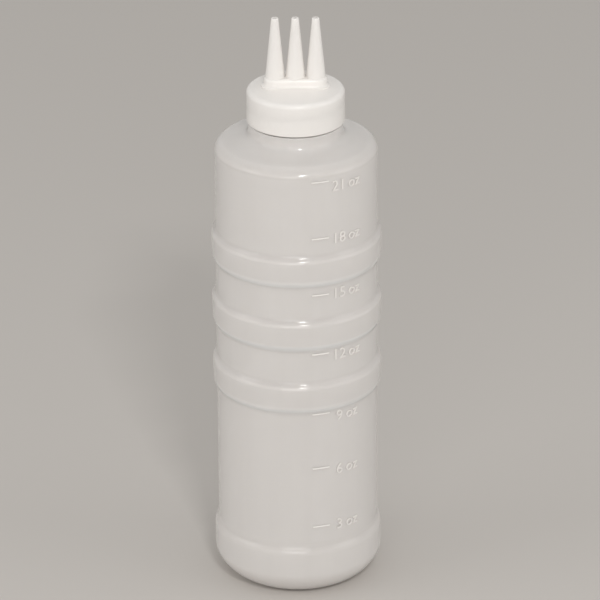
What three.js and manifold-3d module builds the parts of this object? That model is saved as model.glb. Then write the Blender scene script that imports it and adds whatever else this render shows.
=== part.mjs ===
// A three-nozzle squeeze bottle for sauce, in millimetres, +Z up, standing on z = 0.
// The bottle is one blow-moulded shell and the cap is one injection moulding.
// The front of the bottle faces -Y, and the nozzles stand in a row along X.
import * as THREE from 'three';
import { mergeVertices } from 'three/addons/utils/BufferGeometryUtils.js';
import Module from 'manifold-3d';

// Bottle shell
const bodyRadius = 34;
const bodyWall = 1.0;
const wallTop = 194.4;

// Foot, which is a wider band with a deeply rounded lower edge
const footProud = 1.6;
const footHeight = 22.2;
const footRamp = 2.8;
const footCornerWidth = 12;
const footCornerHeight = 12;
const standingRingWidth = 3;
const pushUp = 4.5;

// Grip bands round the body
const bandCount = 3;
const bandBottom = 89.8;
const bandPitch = 28.8;
const bandHeight = 9.8;
const bandProud = 1.7;
const bandLowerRamp = 2.5;
const bandUpperRamp = 2.1;
const bandLipProud = 0.2;

// Shoulder and neck
const shoulderCornerWidth = 3.9;
const shoulderCornerHeight = 3.1;
const shoulderSlope = 0.2;
const collarRadius = 19.7;
const collarHeight = 6;
const collarFillet = 6;
const collarEdge = 0.4;
const neckRadius = 17.2;
const neckWall = 1.5;
const neckHeight = 13.1;
const rimChamfer = 0.5;

// Screw thread, shared by the neck and the cap
const threadPitch = 4.2;
const threadTurns = 1.4;
const threadDepth = 1.0;
const threadRootWidth = 1.9;
const threadCrestWidth = 0.8;
const threadBelowRim = 3.9;
const threadClearance = 0.3;

// Raised volume marks on the front of the wall, from the lowest one up
const lowestMark = 33.9;
const markSteps = [27.5, 25.4, 27.7, 27.0, 25.5, 25.3];
const markProud = 0.4;
const markWidth = 0.7;
const markStartAngle = 10.5;
const markSweep = 12.6;

// Cap
const capWall = 1.1;
const capTopWall = 1.6;
const capEdgeRadius = 1.5;
const capDome = 1.3;
const capSkirtEdge = 0.3;
const capSeatGap = 0.3;
const capCollarGap = 0.8;
const capThreadDepth = 0.8;
const sealDepth = 2.4;
const sealWall = 0.9;
const sealClearance = 0.3;

// Nozzles and the block that they rise from
const nozzleCount = 3;
const nozzlePitch = 8.4;
const nozzleHeight = 30.6;
const nozzleTipRadius = 1.5;
const nozzleBaseRadius = 4.6;
const nozzleTipEdge = 0.3;
const nozzleOrificeRadius = 0.8;
const nozzleBoreRadius = 3.3;
const blockHeight = 4.9;
const blockDepth = 9.4;
const blockEdge = 1.2;

// Fineness of the faceting
const roundSegments = 48;
const nozzleSegments = 24;
const threadSteps = 34;

// Sizes that follow from the ones above
const footRadius = bodyRadius + footProud;
const shoulderTop = wallTop + shoulderCornerHeight + shoulderSlope * (bodyRadius - collarRadius);
const collarTop = shoulderTop + collarHeight;
const rimHeight = collarTop + neckHeight;
const neckBore = neckRadius - neckWall;
const threadStart = rimHeight - threadBelowRim - threadTurns * threadPitch;
const capBore = neckRadius + threadDepth + threadClearance + capThreadDepth;
const capRadius = capBore + capWall;
const capCeiling = rimHeight + capSeatGap;
const capTop = capCeiling + capTopWall;
const capBottom = collarTop + capCollarGap;
const nozzleTip = capTop + nozzleHeight;
const buried = 0.5;

const wasm = await Module();
wasm.setup();

// Turns a closed three.js geometry into a solid.
function toSolid(geometry) {
  const bare = geometry.index ? geometry.toNonIndexed() : geometry.clone();
  bare.deleteAttribute('normal');
  bare.deleteAttribute('uv');
  const merged = mergeVertices(bare, 1e-4);
  const corners = Array.from(merged.index.array);
  const triangles = [];
  for (let i = 0; i < corners.length; i += 3) {
    const [a, b, c] = corners.slice(i, i + 3);
    if (a !== b && b !== c && c !== a) triangles.push(a, b, c);
  }
  const mesh = new wasm.Mesh({
    numProp: 3,
    vertProperties: new Float32Array(merged.attributes.position.array),
    triVerts: new Uint32Array(triangles),
  });
  return new wasm.Manifold(mesh);
}

// Turns a solid back into a flat-shaded geometry.
function toGeometry(solid) {
  const { vertProperties, triVerts, numProp } = solid.getMesh();
  const positions = new Float32Array(triVerts.length * 3);
  triVerts.forEach((vertex, corner) => {
    for (let axis = 0; axis < 3; axis += 1) {
      positions[corner * 3 + axis] = vertProperties[vertex * numProp + axis];
    }
  });
  const geometry = new THREE.BufferGeometry();
  geometry.setAttribute('position', new THREE.BufferAttribute(positions, 3));
  geometry.computeVertexNormals();
  return geometry;
}

// Revolves an outline of (radius, height) points round the Z axis.
// The outline runs from the axis round the solid's outside and back, anticlockwise.
function revolve(outline, segments) {
  const geometry = new THREE.LatheGeometry(outline, segments);
  geometry.rotateX(Math.PI / 2);
  return toSolid(geometry);
}

// Moves an outline by a distance to its left, with mitred corners.
function offsetOutline(points, distance) {
  return points.map((point, i) => {
    const before = point.clone().sub(points[Math.max(i - 1, 0)]).normalize();
    const after = points[Math.min(i + 1, points.length - 1)].clone().sub(point).normalize();
    const first = before.lengthSq() > 0 ? before : after;
    const second = after.lengthSq() > 0 ? after : before;
    const normal = new THREE.Vector2(-first.y - second.y, first.x + second.x).normalize();
    const mitre = normal.x * -first.y + normal.y * first.x;
    return point.clone().add(normal.multiplyScalar(distance / mitre));
  });
}

// The outside of the shell from the middle of the base up to the collar under the cap.
function bodyOutline() {
  const standingEdge = footRadius - footCornerWidth;
  const hollowEdge = standingEdge - standingRingWidth;
  const path = new THREE.Path();
  path.moveTo(0, pushUp);
  path.quadraticCurveTo(hollowEdge * 0.7, pushUp, hollowEdge, 0);
  path.lineTo(standingEdge, 0);
  path.bezierCurveTo(
    standingEdge + footCornerWidth * 0.42, 0,
    footRadius, footCornerHeight * 0.54,
    footRadius, footCornerHeight,
  );
  path.lineTo(footRadius, footHeight);
  path.lineTo(bodyRadius, footHeight + footRamp);
  for (let i = 0; i < bandCount; i += 1) {
    const bottom = bandBottom + i * bandPitch;
    path.lineTo(bodyRadius, bottom - bandLowerRamp);
    path.lineTo(bodyRadius + bandProud - bandLipProud, bottom);
    path.lineTo(bodyRadius + bandProud, bottom + bandHeight);
    path.lineTo(bodyRadius, bottom + bandHeight + bandUpperRamp);
  }
  path.lineTo(bodyRadius, wallTop);
  const cornerInner = bodyRadius - shoulderCornerWidth;
  path.quadraticCurveTo(
    bodyRadius, wallTop + shoulderCornerHeight,
    cornerInner, wallTop + shoulderCornerHeight + shoulderSlope * shoulderCornerWidth,
  );
  path.lineTo(collarRadius + collarFillet, shoulderTop - shoulderSlope * collarFillet);
  path.quadraticCurveTo(collarRadius, shoulderTop, collarRadius, collarTop - collarEdge);
  return path.getPoints(6);
}

// The whole shell: up the outside, over the rim, down the bore and back along the inside.
function bottleOutline() {
  const outside = bodyOutline();
  const inside = offsetOutline(outside, bodyWall);
  inside[0].x = 0;
  const collarInside = inside[inside.length - 1];
  collarInside.y = collarTop - bodyWall - collarEdge;
  const neck = [
    [collarRadius - collarEdge, collarTop],
    [neckRadius, collarTop],
    [neckRadius, rimHeight - rimChamfer],
    [neckRadius - rimChamfer, rimHeight],
    [neckBore, rimHeight],
    [neckBore, collarTop - bodyWall],
    [collarInside.x - collarEdge, collarTop - bodyWall],
  ];
  const neckPoints = neck.map(([radius, height]) => new THREE.Vector2(radius, height));
  return [...outside, ...neckPoints, ...inside.reverse()];
}

// A ridge that climbs round the Z axis. Its section is drawn as (height, distance outwards)
// from the point at the given radius and height, and it fades out over both ends.
function ridge({ section, radius, height, startAngle, sweep, rise, steps, fade }) {
  const geometry = new THREE.ExtrudeGeometry(section, { depth: 1, steps, bevelEnabled: false });
  const place = geometry.attributes.position;
  for (let i = 0; i < place.count; i += 1) {
    const along = place.getZ(i);
    const strength = fade > 0 ? Math.min(1, along / fade, (1 - along) / fade) : 1;
    const out = radius + place.getY(i) * Math.max(strength, 0.05);
    const angle = startAngle + sweep * along;
    place.setXYZ(i, out * Math.cos(angle), out * Math.sin(angle), height + place.getX(i) + rise * along);
  }
  return toSolid(geometry);
}

// A thread's section, standing out by its depth, or in where the depth is negative.
function threadSection(depth, root) {
  const half = threadRootWidth / 2;
  const crest = threadCrestWidth / 2;
  const section = new THREE.Shape();
  section.moveTo(-half, root);
  section.lineTo(half, root);
  section.lineTo(crest, depth);
  section.lineTo(-crest, depth);
  section.closePath();
  return section;
}

function thread(radius, depth, root, height) {
  return ridge({
    section: threadSection(depth, root),
    radius,
    height,
    startAngle: 0,
    sweep: threadTurns * 2 * Math.PI,
    rise: threadTurns * threadPitch,
    steps: threadSteps,
    fade: 0.12,
  });
}

// The raised marks follow the wall, and go no higher than the shoulder.
function volumeMarks() {
  const section = new THREE.Shape();
  section.moveTo(-markWidth / 2, -buried);
  section.lineTo(markWidth / 2, -buried);
  section.lineTo(markWidth / 4, markProud);
  section.lineTo(-markWidth / 4, markProud);
  section.closePath();
  const heights = [lowestMark];
  markSteps.forEach((step) => heights.push(heights[heights.length - 1] + step));
  return heights.filter((height) => height + markWidth < wallTop).map((height) => ridge({
    section,
    radius: bodyRadius,
    height,
    startAngle: THREE.MathUtils.degToRad(markStartAngle - 90),
    sweep: THREE.MathUtils.degToRad(markSweep),
    rise: 0,
    steps: 3,
    fade: 0,
  }));
}

function makeBottle() {
  let bottle = revolve(bottleOutline(), roundSegments);
  bottle = bottle.add(thread(neckRadius, threadDepth, -buried, threadStart));
  for (const mark of volumeMarks()) bottle = bottle.add(mark);
  return bottle;
}

// The cap without its nozzles: skirt, slightly domed top and the plug seal that enters the neck.
function capShell() {
  const sealRadius = neckBore - sealClearance;
  const sealBottom = capCeiling - sealDepth;
  const path = new THREE.Path();
  path.moveTo(0, capCeiling);
  path.lineTo(sealRadius - sealWall, capCeiling);
  path.lineTo(sealRadius - sealWall, sealBottom);
  path.lineTo(sealRadius - sealWall / 2, sealBottom);
  path.lineTo(sealRadius, sealBottom + sealWall / 2);
  path.lineTo(sealRadius, capCeiling);
  path.lineTo(capBore, capCeiling);
  path.lineTo(capBore, capBottom + capSkirtEdge);
  path.lineTo(capBore + capSkirtEdge, capBottom);
  path.lineTo(capRadius - capSkirtEdge, capBottom);
  path.lineTo(capRadius, capBottom + capSkirtEdge);
  path.lineTo(capRadius, capTop - capEdgeRadius);
  path.absarc(capRadius - capEdgeRadius, capTop - capEdgeRadius, capEdgeRadius, 0, Math.PI / 2, false);
  path.quadraticCurveTo(capRadius / 2, capTop + capDome, 0, capTop + capDome);
  return revolve(path.getPoints(4), roundSegments);
}

// The block with round ends that the nozzles rise from.
function nozzleBlock() {
  const halfLength = nozzlePitch * (nozzleCount - 1) / 2;
  const radius = blockDepth / 2 - blockEdge;
  const outline = new THREE.Shape();
  outline.absarc(halfLength, 0, radius, -Math.PI / 2, Math.PI / 2, false);
  outline.absarc(-halfLength, 0, radius, Math.PI / 2, Math.PI * 1.5, false);
  const rootDepth = capTopWall / 2;
  const block = new THREE.ExtrudeGeometry(outline, {
    depth: blockHeight + rootDepth - 2 * blockEdge,
    curveSegments: 8,
    bevelEnabled: true,
    bevelThickness: blockEdge,
    bevelSize: blockEdge,
    bevelSegments: 3,
  });
  block.translate(0, 0, capTop - rootDepth + blockEdge);
  return toSolid(block);
}

function nozzleCone() {
  const foot = capTop - capTopWall / 2;
  return revolve([
    new THREE.Vector2(0, foot),
    new THREE.Vector2(nozzleBaseRadius, foot),
    new THREE.Vector2(nozzleBaseRadius, capTop),
    new THREE.Vector2(nozzleTipRadius, nozzleTip - nozzleTipEdge),
    new THREE.Vector2(nozzleTipRadius - nozzleTipEdge, nozzleTip),
    new THREE.Vector2(0, nozzleTip),
  ], nozzleSegments);
}

function nozzleBore() {
  return revolve([
    new THREE.Vector2(0, capCeiling - buried),
    new THREE.Vector2(nozzleBoreRadius, capCeiling - buried),
    new THREE.Vector2(nozzleBoreRadius, capTop),
    new THREE.Vector2(nozzleOrificeRadius, nozzleTip - nozzleTipRadius),
    new THREE.Vector2(nozzleOrificeRadius, nozzleTip + buried),
    new THREE.Vector2(0, nozzleTip + buried),
  ], nozzleSegments);
}

function makeCap() {
  const threadHeight = threadStart + threadPitch / 2;
  const places = Array.from({ length: nozzleCount }, (_, i) => (i - (nozzleCount - 1) / 2) * nozzlePitch);
  let cap = capShell().add(thread(capBore, -capThreadDepth, buried, threadHeight));
  cap = cap.add(nozzleBlock());
  for (const x of places) cap = cap.add(nozzleCone().translate([x, 0, 0]));
  for (const x of places) cap = cap.subtract(nozzleBore().translate([x, 0, 0]));
  return cap;
}

const milkyPlastic = new THREE.MeshStandardMaterial({ color: 0xd0ccc7, roughness: 0.4, metalness: 0 });
const whitePlastic = new THREE.MeshStandardMaterial({ color: 0xf1ede8, roughness: 0.35, metalness: 0 });

const bottle = new THREE.Mesh(toGeometry(makeBottle()), milkyPlastic);
bottle.name = 'bottle';

const cap = new THREE.Mesh(toGeometry(makeCap()), whitePlastic);
cap.name = 'cap';

const sauceBottle = new THREE.Group();
sauceBottle.add(bottle, cap);

export default sauceBottle;
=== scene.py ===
"""Dresses a squeeze bottle for sauce: a milky blow-moulded shell and its white cap with three nozzles.

The meshes are drawn in millimetres, +Z up, and brought to metres when they are finished. The side with
the volume marks faces -Y, and the nozzles stand in a row along X.
"""

import logging
import math
from dataclasses import dataclass, field
from enum import Enum

import bmesh
import bpy
from mathutils import Matrix, Vector
from mathutils.geometry import interpolate_bezier


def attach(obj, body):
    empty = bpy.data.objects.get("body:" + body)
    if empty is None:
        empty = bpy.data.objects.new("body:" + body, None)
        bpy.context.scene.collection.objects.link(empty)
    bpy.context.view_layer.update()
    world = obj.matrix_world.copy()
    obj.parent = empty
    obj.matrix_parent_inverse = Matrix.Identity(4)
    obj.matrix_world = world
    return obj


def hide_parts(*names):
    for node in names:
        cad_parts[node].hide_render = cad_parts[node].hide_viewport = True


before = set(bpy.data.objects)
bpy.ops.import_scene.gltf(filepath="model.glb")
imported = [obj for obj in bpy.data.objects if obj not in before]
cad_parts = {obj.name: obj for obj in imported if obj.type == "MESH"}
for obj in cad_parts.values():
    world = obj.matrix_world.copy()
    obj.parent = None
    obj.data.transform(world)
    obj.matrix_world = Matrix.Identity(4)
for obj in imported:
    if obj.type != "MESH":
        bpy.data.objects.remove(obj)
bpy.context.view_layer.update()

log = logging.getLogger("sauce_bottle")

MILLIMETRE = 0.001
ROUND_STEPS = 192
ROUND_STRETCH = 2.2
NOZZLE_STEPS = 64
NOZZLE_STRETCH = 4.0
TICK_STEPS = 14
SAME_POINT = 1e-4
SHARP_ANGLE = math.radians(38)
RING_REACH = 300.0
WAVES_PER_METRE = 45.0
GRAINS_PER_METRE = 1500.0
POLYETHYLENE_IOR = 1.51

# Heights of the lighter rings that paint light over the shaded crease under each band.
LIGHT_PAINTED_UNDER_BANDS = (89.0, 117.8, 146.6)
# Heights of the darker rings that paint shade on the lit ramps above the bands.
SHADE_PAINTED_ABOVE_BANDS = (100.6, 129.4, 158.2)
# Heights of the darker rings that paint shade on the lit ramp of the foot and the lit edge of the
# shoulder.
SHADE_PAINTED_ON_FOOT_AND_SHOULDER = (23.6, 196.0)


class Body(Enum):
    """The two bodies that move apart when the cap comes off."""

    BOTTLE = "bottle_body"
    CAP = "cap_body"


class Slot(Enum):
    """The record's material slots."""

    BOTTLE = "bottle_plastic"
    CAP = "cap_plastic"


class Cut(Enum):
    """How one solid acts on another."""

    JOIN = "UNION"
    TAKE_AWAY = "DIFFERENCE"


@dataclass(frozen=True)
class PaintedLightRings:
    """Rings at some heights of a wall where light and shade are painted into its colour: lighter rings
    are painted light, darker rings painted shade.

    Attributes:
        heights: Heights of their middles, in millimetres.
        width: Distance from the middle to the faded edge, in millimetres.
        colour: Painted colour of the rings, lighter than the wall for painted light and darker for
            painted shade, linear.
    """

    heights: tuple[float, ...]
    width: float
    colour: tuple[float, float, float]

    def tint(self, tree: bpy.types.NodeTree, place: bpy.types.NodeSocket,
             colour: bpy.types.NodeSocket) -> bpy.types.NodeSocket:
        """Mixes the rings' painted light and shade into the colour of the wall.

        Args:
            tree: Node tree of the material.
            place: Coordinates that the rings lie on.
            colour: Colour of the rest of the wall.

        Returns:
            The colour with the rings.
        """
        split = tree.nodes.new("ShaderNodeSeparateXYZ")
        tree.links.new(place, split.inputs["Vector"])
        scale = tree.nodes.new("ShaderNodeMapRange")
        scale.inputs["From Max"].default_value = RING_REACH * MILLIMETRE
        tree.links.new(split.outputs["Z"], scale.inputs["Value"])
        ramp = tree.nodes.new("ShaderNodeValToRGB")
        ramp.color_ramp.interpolation = "EASE"
        ramp.color_ramp.elements[1].color = (0.0, 0.0, 0.0, 1.0)
        for height in self.heights:
            for offset, value in ((-1.0, 0.0), (-0.25, 1.0), (0.25, 1.0), (1.0, 0.0)):
                stop = ramp.color_ramp.elements.new((height + offset * self.width) / RING_REACH)
                stop.color = (value, value, value, 1.0)
        tree.links.new(scale.outputs["Result"], ramp.inputs["Fac"])
        mix = tree.nodes.new("ShaderNodeMix")
        mix.data_type = "RGBA"
        mix.inputs["B"].default_value = (*self.colour, 1.0)
        tree.links.new(ramp.outputs["Color"], mix.inputs["Factor"])
        tree.links.new(colour, mix.inputs["A"])
        return mix.outputs["Result"]


@dataclass(frozen=True)
class MouldedPlastic:
    """Satin polyethylene as it comes out of the mould.

    Attributes:
        name: Name of the material.
        colour: Mean colour, linear.
        shade: Colour of the faint cloudy streaks in it, linear.
        roughness: Mean roughness of the skin.
        roughness_swing: How far the roughness varies from place to place.
        glow: Share of the light that passes through the wall and scatters in it.
        glow_depth: Distance that the light travels in the wall, in millimetres.
        cloud_size: Features of the cloudy streaks per metre.
        cloud_squash: Scale of the streaks' pattern along the height, where 1 leaves them round.
        ripple: Height of the slow waves that the mould leaves, in millimetres.
        grain: Height of the fine grain of the skin, in millimetres.
        rings: Rings round the wall where light and shade are painted into its colour.
    """

    name: str
    colour: tuple[float, float, float]
    shade: tuple[float, float, float]
    roughness: float
    roughness_swing: float
    glow: float
    glow_depth: float
    cloud_size: float
    ripple: float
    grain: float
    cloud_squash: float = 1.0
    rings: tuple[PaintedLightRings, ...] = ()

    def material(self) -> bpy.types.Material:
        """Makes the node material.

        Returns:
            The material, whose patterns lie on Object coordinates.
        """
        material = bpy.data.materials.new(self.name)
        material.use_nodes = True
        tree = material.node_tree
        shader = tree.nodes["Principled BSDF"]
        shader.inputs["Subsurface Weight"].default_value = self.glow
        shader.inputs["Subsurface Radius"].default_value = (1.0, 1.0, 1.0)
        shader.inputs["Subsurface Scale"].default_value = self.glow_depth * MILLIMETRE
        shader.inputs["IOR"].default_value = POLYETHYLENE_IOR
        place = tree.nodes.new("ShaderNodeTexCoord").outputs["Object"]

        stretch = tree.nodes.new("ShaderNodeMapping")
        stretch.inputs["Scale"].default_value = (1.0, 1.0, self.cloud_squash)
        tree.links.new(place, stretch.inputs["Vector"])
        clouds = self._noise(tree, stretch.outputs["Vector"], self.cloud_size, 3.0)
        mix = tree.nodes.new("ShaderNodeMix")
        mix.data_type = "RGBA"
        mix.inputs["A"].default_value = (*self.colour, 1.0)
        mix.inputs["B"].default_value = (*self.shade, 1.0)
        tree.links.new(clouds, mix.inputs["Factor"])
        colour = mix.outputs["Result"]
        for rings in self.rings:
            colour = rings.tint(tree, place, colour)
        tree.links.new(colour, shader.inputs["Base Color"])

        skin = tree.nodes.new("ShaderNodeMapRange")
        skin.inputs["To Min"].default_value = self.roughness - self.roughness_swing
        skin.inputs["To Max"].default_value = self.roughness + self.roughness_swing
        tree.links.new(self._noise(tree, place, self.cloud_size * 4, 2.0), skin.inputs["Value"])
        tree.links.new(skin.outputs["Result"], shader.inputs["Roughness"])

        waves = self._bump(tree, self._noise(tree, place, WAVES_PER_METRE, 1.0), self.ripple)
        fine = self._bump(tree, self._noise(tree, place, GRAINS_PER_METRE, 2.0), self.grain)
        tree.links.new(waves.outputs["Normal"], fine.inputs["Normal"])
        tree.links.new(fine.outputs["Normal"], shader.inputs["Normal"])
        return material

    @staticmethod
    def _noise(tree: bpy.types.NodeTree, place: bpy.types.NodeSocket, scale: float,
               detail: float) -> bpy.types.NodeSocket:
        """Adds a noise pattern.

        Args:
            tree: Node tree of the material.
            place: Coordinates that the pattern lies on.
            scale: Features per metre.
            detail: Octaves of finer noise.

        Returns:
            The pattern's value, from 0 to 1.
        """
        noise = tree.nodes.new("ShaderNodeTexNoise")
        noise.inputs["Scale"].default_value = scale
        noise.inputs["Detail"].default_value = detail
        tree.links.new(place, noise.inputs["Vector"])
        return noise.outputs["Fac"]

    @staticmethod
    def _bump(tree: bpy.types.NodeTree, height: bpy.types.NodeSocket, depth: float) -> bpy.types.Node:
        """Adds a bump.

        Args:
            tree: Node tree of the material.
            height: Pattern from 0 to 1.
            depth: Height that 1 stands for, in millimetres.

        Returns:
            The bump node.
        """
        bump = tree.nodes.new("ShaderNodeBump")
        bump.inputs["Distance"].default_value = depth * MILLIMETRE
        tree.links.new(height, bump.inputs["Height"])
        return bump


MILKY_PLASTIC = MouldedPlastic(
    name="milky_polyethylene",
    colour=(0.810, 0.770, 0.745),
    shade=(0.760, 0.722, 0.698),
    roughness=0.13,
    roughness_swing=0.03,
    glow=1.0,
    glow_depth=3.0,
    cloud_size=110.0,
    ripple=0.06,
    grain=0.002,
    cloud_squash=0.04,
    rings=(
        # Painted light: lighter rings on the downward-facing ramps under the bands, over the shade of the
        # crease there.
        PaintedLightRings(LIGHT_PAINTED_UNDER_BANDS, 1.6, (1.0, 0.985, 0.970)),
        # Painted shade: darker rings on the upward-facing ramps above the bands, where the lamps light
        # them.
        PaintedLightRings(SHADE_PAINTED_ABOVE_BANDS, 2.0, (0.712, 0.675, 0.652)),
        # Painted shade: darker rings on the foot's ramp and on the shoulder's edge, which face up to the
        # lamps.
        PaintedLightRings(SHADE_PAINTED_ON_FOOT_AND_SHOULDER, 3.0, (0.722, 0.685, 0.660)),
    ),
)

# The marks are of the wall's plastic; their colour is lighter than the wall's as painted highlight, for
# the light that the raised ticks and figures catch.
RAISED_PLASTIC = MouldedPlastic(
    name="raised_polyethylene",
    colour=(0.880, 0.846, 0.822),
    shade=(0.860, 0.826, 0.802),
    roughness=0.24,
    roughness_swing=0.03,
    glow=0.0,
    glow_depth=1.0,
    cloud_size=40.0,
    ripple=0.0,
    grain=0.002,
)

WHITE_PLASTIC = MouldedPlastic(
    name="white_polyethylene",
    colour=(0.930, 0.896, 0.865),
    shade=(0.905, 0.872, 0.842),
    roughness=0.24,
    roughness_swing=0.03,
    glow=0.45,
    glow_depth=3.0,
    cloud_size=60.0,
    ripple=0.03,
    grain=0.002,
)


class Outline:
    """Half of a turned piece's section, drawn in the plane of radius and height."""

    def __init__(self, radius: float, height: float) -> None:
        """Starts the outline.

        Args:
            radius: Distance of the first point from the axis.
            height: Height of the first point.
        """
        self.mesh = bmesh.new()
        self.tip = self.mesh.verts.new((radius, 0.0, height))
        self.corners: dict[float, list[bmesh.types.BMVert]] = {}

    def line_to(self, radius: float, height: float, rounding: float = 0.0) -> None:
        """Draws a straight stretch.

        Args:
            radius: Distance of its end from the axis.
            height: Height of its end.
            rounding: Length that a rounding takes off both stretches that meet at the end.
        """
        end = self.mesh.verts.new((radius, 0.0, height))
        self.mesh.edges.new((self.tip, end))
        self.tip = end
        if rounding > 0:
            self.corners.setdefault(rounding, []).append(end)

    def curve_to(self, handle: tuple[float, float], other: tuple[float, float],
                 end: tuple[float, float], steps: int = 14) -> None:
        """Draws a Bezier curve.

        Args:
            handle: Radius and height of the handle next to the start.
            other: Radius and height of the handle next to the end.
            end: Radius and height of the end.
            steps: Number of stretches.
        """
        knots = [self.tip.co] + [Vector((radius, 0.0, height)) for radius, height in (handle, other, end)]
        for point in interpolate_bezier(*knots, steps + 1)[1:]:
            self.line_to(point.x, point.z)

    def turn(self, steps: int, longest: float) -> bmesh.types.BMesh:
        """Rounds the corners and turns the outline about the axis.

        Args:
            steps: Steps of the full turn.
            longest: Longest stretch that stays in one piece.

        Returns:
            The turned surface.
        """
        for rounding, corners in self.corners.items():
            bmesh.ops.bevel(self.mesh, geom=corners, offset=rounding, offset_type="OFFSET", segments=5,
                            profile=0.5, affect="VERTICES", material=-1)
        for edge in list(self.mesh.edges):
            cuts = int(edge.calc_length() / longest)
            if cuts:
                bmesh.ops.subdivide_edges(self.mesh, edges=[edge], cuts=cuts)
        geometry = self.mesh.verts[:] + self.mesh.edges[:]
        bmesh.ops.spin(self.mesh, geom=geometry, cent=(0, 0, 0), axis=(0, 0, 1), dvec=(0, 0, 0),
                       angle=math.tau, steps=steps, use_merge=True)
        bmesh.ops.remove_doubles(self.mesh, verts=self.mesh.verts, dist=SAME_POINT)
        bmesh.ops.recalc_face_normals(self.mesh, faces=self.mesh.faces)
        return self.mesh


def merge(target: bmesh.types.BMesh, *others: bmesh.types.BMesh) -> None:
    """Puts meshes into another one.

    Args:
        target: Mesh that takes the others in.
        others: Meshes to add, which are freed.
    """
    for other in others:
        carrier = bpy.data.meshes.new("carrier")
        other.to_mesh(carrier)
        other.free()
        target.from_mesh(carrier)
        bpy.data.meshes.remove(carrier)


def make_object(name: str, mesh: bmesh.types.BMesh) -> bpy.types.Object:
    """Turns a mesh drawn in millimetres into an object in metres, smooth apart from its sharp edges.

    Args:
        name: Name of the object.
        mesh: Mesh to use, which is freed.

    Returns:
        The object, at the origin.
    """
    for face in mesh.faces:
        face.smooth = True
    for edge in mesh.edges:
        edge.smooth = not edge.is_manifold or edge.calc_face_angle() < SHARP_ANGLE
    bmesh.ops.scale(mesh, vec=(MILLIMETRE,) * 3, verts=mesh.verts)
    data = bpy.data.meshes.new(name)
    mesh.to_mesh(data)
    mesh.free()
    piece = bpy.data.objects.new(name, data)
    bpy.context.scene.collection.objects.link(piece)
    return piece


def combine(target: bmesh.types.BMesh, tool: bmesh.types.BMesh, cut: Cut) -> bmesh.types.BMesh:
    """Joins two closed solids, or takes one away from the other.

    Args:
        target: Solid that is changed, which is freed.
        tool: Solid that acts on it, which is freed.
        cut: Whether the tool is joined or taken away.

    Returns:
        The new solid.
    """
    holders = []
    for name, mesh in (("target", target), ("tool", tool)):
        data = bpy.data.meshes.new(name)
        mesh.to_mesh(data)
        mesh.free()
        holder = bpy.data.objects.new(name, data)
        bpy.context.scene.collection.objects.link(holder)
        holders.append(holder)
    modifier = holders[0].modifiers.new("cut", "BOOLEAN")
    modifier.object = holders[1]
    modifier.operation = cut.value
    modifier.solver = "EXACT"
    graph = bpy.context.evaluated_depsgraph_get()
    result = bmesh.new()
    result.from_object(holders[0], graph)
    for holder in holders:
        data = holder.data
        bpy.data.objects.remove(holder)
        bpy.data.meshes.remove(data)
    return result


@dataclass(frozen=True)
class ScrewThread:
    """A ridge that climbs round the axis, on the neck or inside the cap.

    Sizes are in millimetres.

    Attributes:
        radius: Radius of the wall that it stands on.
        depth: How far it stands out, or in where it is negative.
        start: Height of its middle at the start.
        pitch: Rise of one turn.
        turns: Number of turns.
        root: Width of its foot.
        crest: Width of its crest.
        buried: How far it reaches into the wall.
        steps: Steps of the whole climb.
        fade: Share of the length over which the crest rises at each end.
        faded_crest: Share of the crest that is left at the very ends.
    """

    radius: float
    depth: float
    start: float
    pitch: float = 4.2
    turns: float = 1.4
    root: float = 1.9
    crest: float = 0.8
    buried: float = 0.4
    steps: int = 110
    fade: float = 0.08
    faded_crest: float = 0.05

    def build(self) -> bmesh.types.BMesh:
        """Makes the ridge.

        Returns:
            The closed ridge, which sinks into the wall at both ends.
        """
        mesh = bmesh.new()
        side = math.copysign(1.0, self.depth)
        section = [
            (self.radius - side * self.buried, -self.root / 2),
            (self.radius - side * self.buried, self.root / 2),
            (self.radius + self.depth, self.crest / 2),
            (self.radius + self.depth, -self.crest / 2),
        ]
        corners = [mesh.verts.new((radius, 0.0, self.start + height)) for radius, height in section]
        face = mesh.faces.new(corners)
        bmesh.ops.spin(mesh, geom=[face], cent=(0, 0, 0), axis=(0, 0, 1), angle=self.turns * math.tau,
                       dvec=(0, 0, self.turns * self.pitch / self.steps), steps=self.steps)
        for vertex in mesh.verts:
            self._sink(vertex)
        bmesh.ops.recalc_face_normals(mesh, faces=mesh.faces)
        return mesh

    def _sink(self, vertex: bmesh.types.BMVert) -> None:
        """Lowers a point of the crest where it is near either end.

        Args:
            vertex: Point of the ridge.
        """
        radius = math.hypot(vertex.co.x, vertex.co.y)
        middle = self.start + self.turns * self.pitch / 2
        along = 0.5 + (vertex.co.z - middle) / (self.turns * self.pitch)
        from_end = min(along, 1.0 - along)
        strength = min(1.0, max(self.faded_crest, from_end / self.fade))
        out = radius - self.radius
        if out * self.depth > 0:
            scale = (self.radius + out * strength) / radius
            vertex.co.x *= scale
            vertex.co.y *= scale


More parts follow.
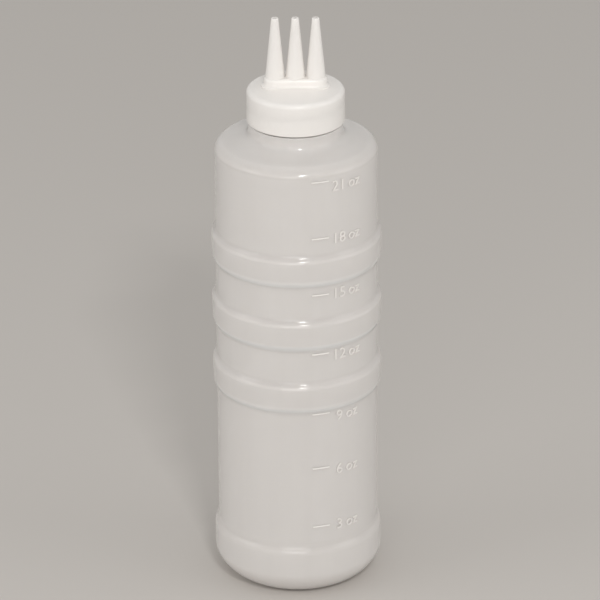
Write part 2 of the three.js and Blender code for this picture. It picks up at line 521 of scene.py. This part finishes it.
@dataclass(frozen=True)
class VolumeMarks:
    """The raised ticks and numbers on the front of the wall.

    Sizes are in millimetres.

    Attributes:
        radius: Radius of the wall.
        lowest: Height of the lowest tick.
        rises: Height from each tick to the next one.
        volume_step: Fluid ounces between two ticks.
        tick_start: Angle from the front at which a tick starts, in degrees.
        tick_sweep: Angle that a tick takes up, in degrees.
        tick_width: Width of a tick.
        number_angle: Angle of the middle of a number, in degrees.
        unit_gap: Gap between a number and its unit.
        letter_height: Height of the figures.
        proud: How far the marks stand out of the wall.
        buried: How far they reach into the wall.
        number_drops: How far each number's middle lies below its tick, from the lowest tick up.
        figure_width: Width of a figure with its gap, as a share of its height.
        unit_half_width: Half the width of the unit, as a share of the figures' height.
        figure_share: Height of a figure as a share of the font's size.
    """

    radius: float = 34.0
    lowest: float = 33.9
    rises: tuple[float, ...] = (27.5, 25.4, 27.7, 27.0, 25.5, 25.3)
    volume_step: int = 3
    tick_start: float = 10.5
    tick_sweep: float = 12.6
    tick_width: float = 0.8
    number_angle: float = 31.0
    unit_gap: float = 2.4
    letter_height: float = 4.7
    proud: float = 0.35
    buried: float = 0.05
    number_drops: tuple[float, ...] = (0.4, 1.8, 2.2, 1.5, 0.4, 0.9, 2.7)
    figure_width: float = 0.62
    unit_half_width: float = 0.55
    figure_share: float = 0.7

    def build(self) -> list[bmesh.types.BMesh]:
        """Makes all marks.

        Returns:
            One closed mesh for each tick, number and unit.
        """
        heights = [self.lowest]
        for rise in self.rises:
            heights.append(heights[-1] + rise)
        marks = []
        for place, (height, drop) in enumerate(zip(heights, self.number_drops), start=1):
            marks.append(self._tick(height))
            number = str(place * self.volume_step)
            marks.append(self._lettering(number, height - drop, self.number_angle))
            width = self.letter_height * self.figure_width * len(number)
            reach = width / 2 + self.unit_gap + self.letter_height * self.unit_half_width
            unit_angle = self.number_angle + math.degrees(reach / self.radius)
            marks.append(self._lettering("oz", height - drop, unit_angle))
        return marks

    def _tick(self, height: float) -> bmesh.types.BMesh:
        """Makes one tick.

        Args:
            height: Height of its middle.

        Returns:
            The closed tick.
        """
        mesh = bmesh.new()
        half = self.tick_width / 2
        inner = self.radius - self.buried
        outer = self.radius + self.proud
        section = [(inner, -half), (outer, -half / 2), (outer, half / 2), (inner, half)]
        start = Matrix.Rotation(math.radians(self.tick_start - 90), 3, "Z")
        points = [start @ Vector((radius, 0.0, height + lift)) for radius, lift in section]
        face = mesh.faces.new([mesh.verts.new(point) for point in points])
        bmesh.ops.spin(mesh, geom=[face], cent=(0, 0, 0), axis=(0, 0, 1), dvec=(0, 0, 0),
                       angle=math.radians(self.tick_sweep), steps=TICK_STEPS)
        bmesh.ops.recalc_face_normals(mesh, faces=mesh.faces)
        return mesh

    def _lettering(self, text: str, height: float, angle: float) -> bmesh.types.BMesh:
        """Makes raised figures or letters that follow the wall.

        Args:
            text: Figures or letters.
            height: Height of their middle.
            angle: Angle of their middle from the front, in degrees.

        Returns:
            The closed figures.
        """
        curve = bpy.data.curves.new(text, "FONT")
        curve.body = text
        curve.size = self.letter_height / self.figure_share
        curve.align_x = "CENTER"
        curve.align_y = "CENTER"
        curve.extrude = (self.proud + self.buried) / 2
        curve.resolution_u = 4
        holder = bpy.data.objects.new(text, curve)
        bpy.context.scene.collection.objects.link(holder)
        graph = bpy.context.evaluated_depsgraph_get()
        flat = bpy.data.meshes.new_from_object(holder.evaluated_get(graph))
        mesh = bmesh.new()
        mesh.from_mesh(flat)
        bpy.data.meshes.remove(flat)
        bpy.data.objects.remove(holder)
        bpy.data.curves.remove(curve)
        bmesh.ops.remove_doubles(mesh, verts=mesh.verts, dist=SAME_POINT)
        middle = self.radius + (self.proud - self.buried) / 2
        for vertex in mesh.verts:
            across, up, out = vertex.co
            turn = math.radians(angle - 90) + across / self.radius
            reach = middle + out
            vertex.co = (reach * math.cos(turn), reach * math.sin(turn), height + up)
        bmesh.ops.recalc_face_normals(mesh, faces=mesh.faces)
        return mesh


@dataclass
class BottleShell:
    """The blow-moulded shell, from the hollow under its base to the rim of its neck.

    Sizes are in millimetres.

    Attributes:
        body_radius: Radius of the wall.
        wall: Thickness of the wall.
        wall_top: Height at which the shoulder starts.
        foot_proud: How far the foot stands out of the wall.
        foot_height: Height at which the foot's straight part ends.
        foot_ramp: Height over which the foot narrows to the wall.
        foot_corner: Size of the rounded corner at the bottom.
        foot_rounding: Rounding at both ends of the foot's ramp.
        standing_ring: Width of the flat ring that the bottle stands on.
        push_up: Height of the hollow under the base.
        band_count: Number of grip bands.
        band_bottom: Height of the lowest band's lower edge.
        band_pitch: Height from one band to the next.
        band_height: Height of a band's face.
        band_proud: How far a band stands out of the wall.
        band_lower_ramp: Height of the ramp under a band.
        band_upper_ramp: Height of the ramp above a band.
        band_lip: How much less a band stands out at its lower edge.
        band_rounding: Rounding of a band's corners.
        shoulder_corner_width: How far the rounded shoulder reaches inwards.
        shoulder_corner_height: Rise of the rounded shoulder, without what the slope adds.
        shoulder_slope: Rise of the shoulder for each millimetre inwards.
        collar_radius: Radius of the collar under the cap.
        collar_height: Height of the collar.
        collar_fillet: Size of the hollow curve from the shoulder to the collar.
        collar_straight: Height of the collar's upright part.
        collar_edge: Rounding of the collar's edge.
        neck_radius: Radius of the neck.
        neck_wall: Thickness of the neck's wall.
        neck_height: Height of the neck above the collar.
        neck_fillet: Rounding where the neck meets the collar.
        rim_edge: Rounding of the rim.
        thread_depth: How far the thread stands out.
        thread_below_rim: Distance from the rim down to the middle of the thread's upper end.
        marks: The raised marks.
        finish: Finish of the shell.
        marks_finish: Finish of the marks, whose colour is lighter than the wall's as painted highlight.
    """

    body_radius: float = 34.0
    wall: float = 1.0
    wall_top: float = 194.4
    foot_proud: float = 1.6
    foot_height: float = 22.2
    foot_ramp: float = 2.8
    foot_corner: float = 12.0
    foot_rounding: float = 1.3
    standing_ring: float = 3.0
    push_up: float = 4.5
    band_count: int = 3
    band_bottom: float = 89.8
    band_pitch: float = 28.8
    band_height: float = 9.8
    band_proud: float = 1.7
    band_lower_ramp: float = 2.5
    band_upper_ramp: float = 2.1
    band_lip: float = 0.2
    band_rounding: float = 0.9
    shoulder_corner_width: float = 3.9
    shoulder_corner_height: float = 3.1
    shoulder_slope: float = 0.2
    collar_radius: float = 19.7
    collar_height: float = 6.0
    collar_fillet: float = 6.0
    collar_straight: float = 2.0
    collar_edge: float = 0.4
    neck_radius: float = 17.2
    neck_wall: float = 1.5
    neck_height: float = 13.1
    neck_fillet: float = 0.3
    rim_edge: float = 0.4
    thread_depth: float = 1.0
    thread_below_rim: float = 3.9
    marks: VolumeMarks = field(default_factory=VolumeMarks)
    finish: MouldedPlastic = MILKY_PLASTIC
    marks_finish: MouldedPlastic = RAISED_PLASTIC

    @property
    def foot_radius(self) -> float:
        """Radius of the foot."""
        return self.body_radius + self.foot_proud

    @property
    def shoulder_top(self) -> float:
        """Height at which the shoulder would meet the collar's wall."""
        run = self.body_radius - self.collar_radius
        return self.wall_top + self.shoulder_corner_height + self.shoulder_slope * run

    @property
    def collar_top(self) -> float:
        """Height of the ledge under the cap."""
        return self.shoulder_top + self.collar_height

    @property
    def rim_height(self) -> float:
        """Height of the neck's rim."""
        return self.collar_top + self.neck_height

    @property
    def thread_start(self) -> float:
        """Height at which the thread starts."""
        return self.rim_height - self.thread_below_rim - ScrewThread.turns * ScrewThread.pitch

    def build(self) -> bpy.types.Object:
        """Makes the shell with its thread and marks, and puts it on its body.

        Returns:
            The shell's object.
        """
        shell = self._outline().turn(ROUND_STEPS, ROUND_STRETCH)
        self._give_wall(shell)
        merge(shell, ScrewThread(self.neck_radius, self.thread_depth, self.thread_start).build())
        piece = make_object("bottle_shell", shell)
        piece.data.materials.append(self.finish.material())
        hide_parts("bottle")
        self._place(piece)
        marks = bmesh.new()
        merge(marks, *self.marks.build())
        raised = make_object("volume_marks", marks)
        raised.data.materials.append(self.marks_finish.material())
        self._place(raised)
        return piece

    @staticmethod
    def _place(piece: bpy.types.Object) -> None:
        """Puts a piece on the bottle's body.

        Args:
            piece: Object that belongs to the bottle.
        """
        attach(piece, Body.BOTTLE.value)
        log.info("%s: %d faces", piece.name, len(piece.data.polygons))

    def _outline(self) -> Outline:
        """Draws the outside of the shell, from the middle of the base to the rim.

        Returns:
            The outline.
        """
        standing_edge = self.foot_radius - self.foot_corner
        hollow_edge = standing_edge - self.standing_ring
        outline = Outline(0.0, self.push_up)
        outline.curve_to(
            (hollow_edge * 0.45, self.push_up),
            (hollow_edge * 0.7, self.push_up),
            (hollow_edge, 0.0),
        )
        outline.line_to(standing_edge, 0.0)
        outline.curve_to(
            (standing_edge + self.foot_corner * 0.42, 0.0),
            (self.foot_radius, self.foot_corner * 0.54),
            (self.foot_radius, self.foot_corner),
            24,
        )
        outline.line_to(self.foot_radius, self.foot_height, self.foot_rounding)
        outline.line_to(self.body_radius, self.foot_height + self.foot_ramp, self.foot_rounding)
        for place in range(self.band_count):
            self._band(outline, self.band_bottom + place * self.band_pitch)
        outline.line_to(self.body_radius, self.wall_top)
        self._shoulder(outline)
        outline.line_to(self.collar_radius, self.collar_top, self.collar_edge)
        outline.line_to(self.neck_radius, self.collar_top, self.neck_fillet)
        outline.line_to(self.neck_radius, self.rim_height, self.rim_edge)
        outline.line_to(self.neck_radius - self.wall / 2, self.rim_height)
        return outline

    def _band(self, outline: Outline, bottom: float) -> None:
        """Draws one grip band.

        Args:
            outline: Outline to draw on.
            bottom: Height of the band's lower edge.
        """
        proud = self.body_radius + self.band_proud
        top = bottom + self.band_height
        outline.line_to(self.body_radius, bottom - self.band_lower_ramp, self.band_rounding)
        outline.line_to(proud - self.band_lip, bottom, self.band_rounding)
        outline.line_to(proud, top, self.band_rounding)
        outline.line_to(self.body_radius, top + self.band_upper_ramp, self.band_rounding)

    def _shoulder(self, outline: Outline) -> None:
        """Draws the rounded shoulder and the hollow curve up to the collar.

        Args:
            outline: Outline to draw on.
        """
        inner = self.body_radius - self.shoulder_corner_width
        corner_top = self.wall_top + self.shoulder_corner_height
        end = (inner, corner_top + self.shoulder_slope * self.shoulder_corner_width)
        outline.curve_to(
            (self.body_radius, self.wall_top + self.shoulder_corner_height * 0.6),
            (inner + self.shoulder_corner_width * 0.36, end[1] - self.shoulder_corner_width * 0.08),
            end,
        )
        foot = self.collar_radius + self.collar_fillet
        outline.line_to(foot, self.shoulder_top - self.shoulder_slope * self.collar_fillet)
        outline.curve_to(
            (self.collar_radius + self.collar_fillet * 0.3, self.shoulder_top - 0.3),
            (self.collar_radius, self.shoulder_top + 0.4),
            (self.collar_radius, self.collar_top - self.collar_straight),
        )

    def _give_wall(self, shell: bmesh.types.BMesh) -> None:
        """Thickens the surface inwards, with a thicker wall at the neck.

        Args:
            shell: The shell's outer surface.
        """
        outer = set(shell.verts)
        bmesh.ops.solidify(shell, geom=shell.faces[:], thickness=self.wall)
        inner = [vertex for vertex in shell.verts if vertex not in outer]
        thin_bore = self.neck_radius - self.wall
        narrower = (self.neck_radius - self.neck_wall) / thin_bore
        neck = [vertex for vertex in inner if vertex.co.z > self.collar_top + self.wall / 2]
        bmesh.ops.scale(shell, vec=(narrower, narrower, 1.0), verts=neck)
        bmesh.ops.recalc_face_normals(shell, faces=shell.faces)


@dataclass
class NozzleCap:
    """The screw cap, moulded in one piece with its three nozzles.

    Sizes are in millimetres.

    Attributes:
        rim_height: Height of the neck's rim.
        collar_top: Height of the ledge under the cap.
        neck_thread_start: Height at which the neck's thread starts.
        collar_gap: Gap between the ledge and the skirt.
        bore: Inner radius of the skirt.
        wall: Thickness of the skirt.
        top_wall: Thickness of the top.
        seat_gap: Gap between the rim and the top.
        edge_radius: Rounding of the top's edge.
        dome: Rise of the top's middle over its edge.
        skirt_edge: Rounding of the skirt's lower edges.
        seal_outside: Outer radius of the ring that seals the neck.
        seal_depth: Height of that ring.
        seal_wall: Thickness of that ring.
        seal_edge: Rounding of that ring's inner edge and of its root.
        seal_lead_in: Rounding of the edge that enters the neck first.
        ceiling_corner: Rounding where the skirt meets the top inside.
        thread_depth: How far the thread stands in.
        nozzle_count: Number of nozzles.
        nozzle_pitch: Distance from one nozzle to the next.
        nozzle_height: Height of the tips over the top's edge.
        tip_radius: Radius of a nozzle at its tip.
        tip_edge: Rounding of the tip.
        foot_radius: Radius of a nozzle at its foot.
        orifice_radius: Radius of the hole in the tip.
        inside_radius: Radius of the hollow at a nozzle's foot.
        block_height: Height of the block over the top's edge.
        block_depth: Width of the block from front to back.
        block_edge: Rounding of the block's upper edge.
        block_fillet: Size of the hollow curve at the block's foot.
        finish: Finish of the cap.
    """

    rim_height: float
    collar_top: float
    neck_thread_start: float
    collar_gap: float = 0.8
    bore: float = 19.3
    wall: float = 1.1
    top_wall: float = 1.6
    seat_gap: float = 0.3
    edge_radius: float = 2.1
    dome: float = 1.5
    skirt_edge: float = 0.3
    seal_outside: float = 15.4
    seal_depth: float = 2.4
    seal_wall: float = 0.9
    seal_edge: float = 0.2
    seal_lead_in: float = 0.4
    ceiling_corner: float = 0.4
    thread_depth: float = 0.8
    nozzle_count: int = 3
    nozzle_pitch: float = 8.4
    nozzle_height: float = 30.6
    tip_radius: float = 1.5
    tip_edge: float = 0.35
    foot_radius: float = 4.6
    orifice_radius: float = 0.8
    inside_radius: float = 3.3
    block_height: float = 4.9
    block_depth: float = 9.4
    block_edge: float = 1.2
    block_fillet: float = 1.2
    finish: MouldedPlastic = WHITE_PLASTIC

    @property
    def bottom(self) -> float:
        """Height of the skirt's lower edge."""
        return self.collar_top + self.collar_gap

    @property
    def ceiling(self) -> float:
        """Height of the underside of the cap's top."""
        return self.rim_height + self.seat_gap

    @property
    def top(self) -> float:
        """Height of the top at its edge."""
        return self.ceiling + self.top_wall

    @property
    def tip(self) -> float:
        """Height of the nozzles' tips."""
        return self.top + self.nozzle_height

    def build(self) -> bpy.types.Object:
        """Makes the cap and puts it on its body.

        Returns:
            The cap's object.
        """
        first = -self.nozzle_pitch * (self.nozzle_count - 1) / 2
        places = [first + place * self.nozzle_pitch for place in range(self.nozzle_count)]
        cap = combine(self._skirt(), self._block(), Cut.JOIN)
        for place in places:
            cap = combine(cap, self._cone(place), Cut.JOIN)
        for place in places:
            cap = combine(cap, self._channel(place), Cut.TAKE_AWAY)
        thread_start = self.neck_thread_start + ScrewThread.pitch / 2
        merge(cap, ScrewThread(self.bore, -self.thread_depth, thread_start).build())
        piece = make_object("nozzle_cap", cap)
        piece.data.materials.append(self.finish.material())
        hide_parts("cap")
        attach(piece, Body.CAP.value)
        log.info("%s: %d faces", piece.name, len(piece.data.polygons))
        return piece

    def _skirt(self) -> bmesh.types.BMesh:
        """Makes the skirt, the top and the ring that seals the neck.

        Returns:
            The closed solid.
        """
        radius = self.bore + self.wall
        inside = self.seal_outside - self.seal_wall
        outline = Outline(0.0, self.ceiling)
        outline.line_to(inside, self.ceiling)
        outline.line_to(inside, self.ceiling - self.seal_depth, self.seal_edge)
        outline.line_to(self.seal_outside, self.ceiling - self.seal_depth, self.seal_lead_in)
        outline.line_to(self.seal_outside, self.ceiling, self.seal_edge)
        outline.line_to(self.bore, self.ceiling, self.ceiling_corner)
        outline.line_to(self.bore, self.bottom, self.skirt_edge)
        outline.line_to(radius, self.bottom, self.skirt_edge)
        outline.line_to(radius, self.top - self.edge_radius)
        round_off = self.edge_radius * 0.45
        shelf = radius - self.edge_radius
        outline.curve_to(
            (radius, self.top - round_off),
            (radius - round_off, self.top),
            (shelf, self.top),
            8,
        )
        crown = self.top + self.dome
        outline.curve_to(
            (shelf - radius / 3, self.top + self.dome * 0.67),
            (radius / 3, crown),
            (0.0, crown),
            20,
        )
        return outline.turn(ROUND_STEPS, ROUND_STRETCH)

    def _block(self) -> bmesh.types.BMesh:
        """Makes the block with round ends that the nozzles rise from.

        Returns:
            The closed solid.
        """
        radius = self.block_depth / 2
        crown = self.top + self.block_height
        foot = self.top + self.dome * 0.8
        root = self.ceiling + self.top_wall / 2
        outline = Outline(0.0, root)
        outline.line_to(radius + self.block_fillet, root)
        outline.line_to(radius + self.block_fillet, foot)
        outline.curve_to(
            (radius + self.block_fillet * 0.45, foot),
            (radius, foot + self.block_fillet * 0.55),
            (radius, foot + self.block_fillet),
            8,
        )
        outline.line_to(radius, crown, self.block_edge)
        outline.line_to(0.0, crown)
        block = outline.turn(NOZZLE_STEPS, NOZZLE_STRETCH)
        bmesh.ops.rotate(block, verts=block.verts, cent=(0, 0, 0),
                         matrix=Matrix.Rotation(math.pi / NOZZLE_STEPS, 3, "Z"))
        reach = self.nozzle_pitch * (self.nozzle_count - 1) / 2
        for side in (-1, 1):
            half = [vertex for vertex in block.verts if vertex.co.x * side > SAME_POINT]
            bmesh.ops.translate(block, verts=half, vec=(side * reach, 0, 0))
        return block

    def _cone(self, place: float) -> bmesh.types.BMesh:
        """Makes one nozzle, still solid.

        Args:
            place: Its middle along X.

        Returns:
            The closed cone.
        """
        outline = Outline(0.0, self.top - self.top_wall / 2)
        outline.line_to(self.foot_radius, self.top - self.top_wall / 2)
        outline.line_to(self.foot_radius, self.top)
        outline.line_to(self.tip_radius, self.tip, self.tip_edge)
        outline.line_to(0.0, self.tip)
        cone = outline.turn(NOZZLE_STEPS, NOZZLE_STRETCH)
        bmesh.ops.translate(cone, verts=cone.verts, vec=(place, 0, 0))
        return cone

    def _channel(self, place: float) -> bmesh.types.BMesh:
        """Makes the tapered hollow of one nozzle.

        Args:
            place: Its middle along X.

        Returns:
            The closed solid to take away.
        """
        overrun = 0.5
        outline = Outline(0.0, self.ceiling - overrun)
        outline.line_to(self.inside_radius, self.ceiling - overrun)
        outline.line_to(self.inside_radius, self.top)
        outline.line_to(self.orifice_radius, self.tip - self.tip_radius)
        outline.line_to(self.orifice_radius, self.tip + overrun)
        outline.line_to(0.0, self.tip + overrun)
        channel = outline.turn(NOZZLE_STEPS, NOZZLE_STRETCH)
        bmesh.ops.translate(channel, verts=channel.verts, vec=(place, 0, 0))
        return channel


@dataclass(frozen=True)
class SoftLamp:
    """A rectangular soft lamp.

    Attributes:
        name: Name of the lamp.
        place: Where it hangs, in metres.
        size: Its width and height, in metres.
        power: Power in watts.
        aim: The point that it faces, in metres.
        colour: Colour of its light, linear.
    """

    name: str
    place: tuple[float, float, float]
    size: tuple[float, float]
    power: float
    aim: tuple[float, float, float] = (0.0, 0.0, 0.12)
    colour: tuple[float, float, float] = (1.0, 0.99, 0.97)

    def hang(self) -> None:
        """Adds the lamp to the scene."""
        light = bpy.data.lights.new(self.name, "AREA")
        light.shape = "RECTANGLE"
        light.size, light.size_y = self.size
        light.energy = self.power
        light.color = self.colour
        lamp = bpy.data.objects.new(self.name, light)
        lamp.location = self.place
        lamp.rotation_euler = (Vector(self.aim) - Vector(self.place)).to_track_quat("-Z", "Y").to_euler()
        bpy.context.scene.collection.objects.link(lamp)


@dataclass
class Studio:
    """The camera, the lamps, the pale floor and the soft light all round.

    Attributes:
        camera_place: Where the camera stands, in metres.
        camera_tilt: Tilt from straight down, in degrees.
        camera_roll: Roll in radians.
        lens: Focal length in millimetres.
        floor_colour: Colour of the floor, linear.
        floor_size: Length of the floor's sides, in metres.
        surround_colour: Colour of the light all round, linear.
        surround_strength: Strength of the light all round.
        lamps: The soft lamps.
    """

    camera_place: tuple[float, float, float] = (0.001346, -1.8074, 0.95578)
    camera_tilt: float = 65.30
    camera_roll: float = -0.0056
    lens: float = 283.15
    floor_colour: tuple[float, float, float] = (0.60, 0.575, 0.55)
    floor_size: float = 12.0
    surround_colour: tuple[float, float, float] = (1.0, 0.985, 0.96)
    surround_strength: float = 0.57
    lamps: tuple[SoftLamp, ...] = (
        SoftLamp("key", (0.21, -1.22, 1.10), (0.22, 0.05), 5.6),
        SoftLamp("left", (-1.4, -0.5, 0.7), (0.9, 0.9), 3.0),
        SoftLamp("right", (1.4, -0.5, 0.7), (0.9, 0.9), 2.5),
        SoftLamp("front", (-0.2, -2.1, 0.62), (1.2, 0.6), 7.7),
    )

    def build(self) -> None:
        """Sets up everything round the bottle."""
        self._camera()
        self._floor()
        self._surround()
        for lamp in self.lamps:
            lamp.hang()
        bpy.context.scene.view_settings.view_transform = "Standard"

    def _camera(self) -> None:
        """Adds the camera at the photograph's viewing angle."""
        data = bpy.data.cameras.new("camera")
        data.lens = self.lens
        data.sensor_width = 36.0
        data.clip_end = 50.0
        camera = bpy.data.objects.new("camera", data)
        tilt = Matrix.Rotation(math.radians(self.camera_tilt), 4, "X")
        roll = Matrix.Rotation(self.camera_roll, 4, "Z")
        camera.matrix_world = Matrix.Translation(self.camera_place) @ tilt @ roll
        bpy.context.scene.collection.objects.link(camera)
        bpy.context.scene.camera = camera

    def _floor(self) -> None:
        """Adds the plain pale floor."""
        mesh = bmesh.new()
        bmesh.ops.create_grid(mesh, x_segments=1, y_segments=1, size=self.floor_size / 2)
        data = bpy.data.meshes.new("floor")
        mesh.to_mesh(data)
        mesh.free()
        floor = bpy.data.objects.new("floor", data)
        bpy.context.scene.collection.objects.link(floor)
        material = bpy.data.materials.new("pale_floor")
        material.use_nodes = True
        shader = material.node_tree.nodes["Principled BSDF"]
        shader.inputs["Base Color"].default_value = (*self.floor_colour, 1.0)
        shader.inputs["Roughness"].default_value = 0.9
        shader.inputs["Specular IOR Level"].default_value = 0.1
        data.materials.append(material)

    def _surround(self) -> None:
        """Lights the scene evenly from all round."""
        world = bpy.data.worlds.new("surround")
        world.use_nodes = True
        background = world.node_tree.nodes["Background"]
        background.inputs["Color"].default_value = (*self.surround_colour, 1.0)
        background.inputs["Strength"].default_value = self.surround_strength
        bpy.context.scene.world = world


def main() -> None:
    """Builds the bottle, the cap and the studio."""
    logging.basicConfig(level=logging.INFO)
    Studio().build()
    shell = BottleShell()
    shell.build()
    NozzleCap(shell.rim_height, shell.collar_top, shell.thread_start).build()


if __name__ == "__main__":
    main()
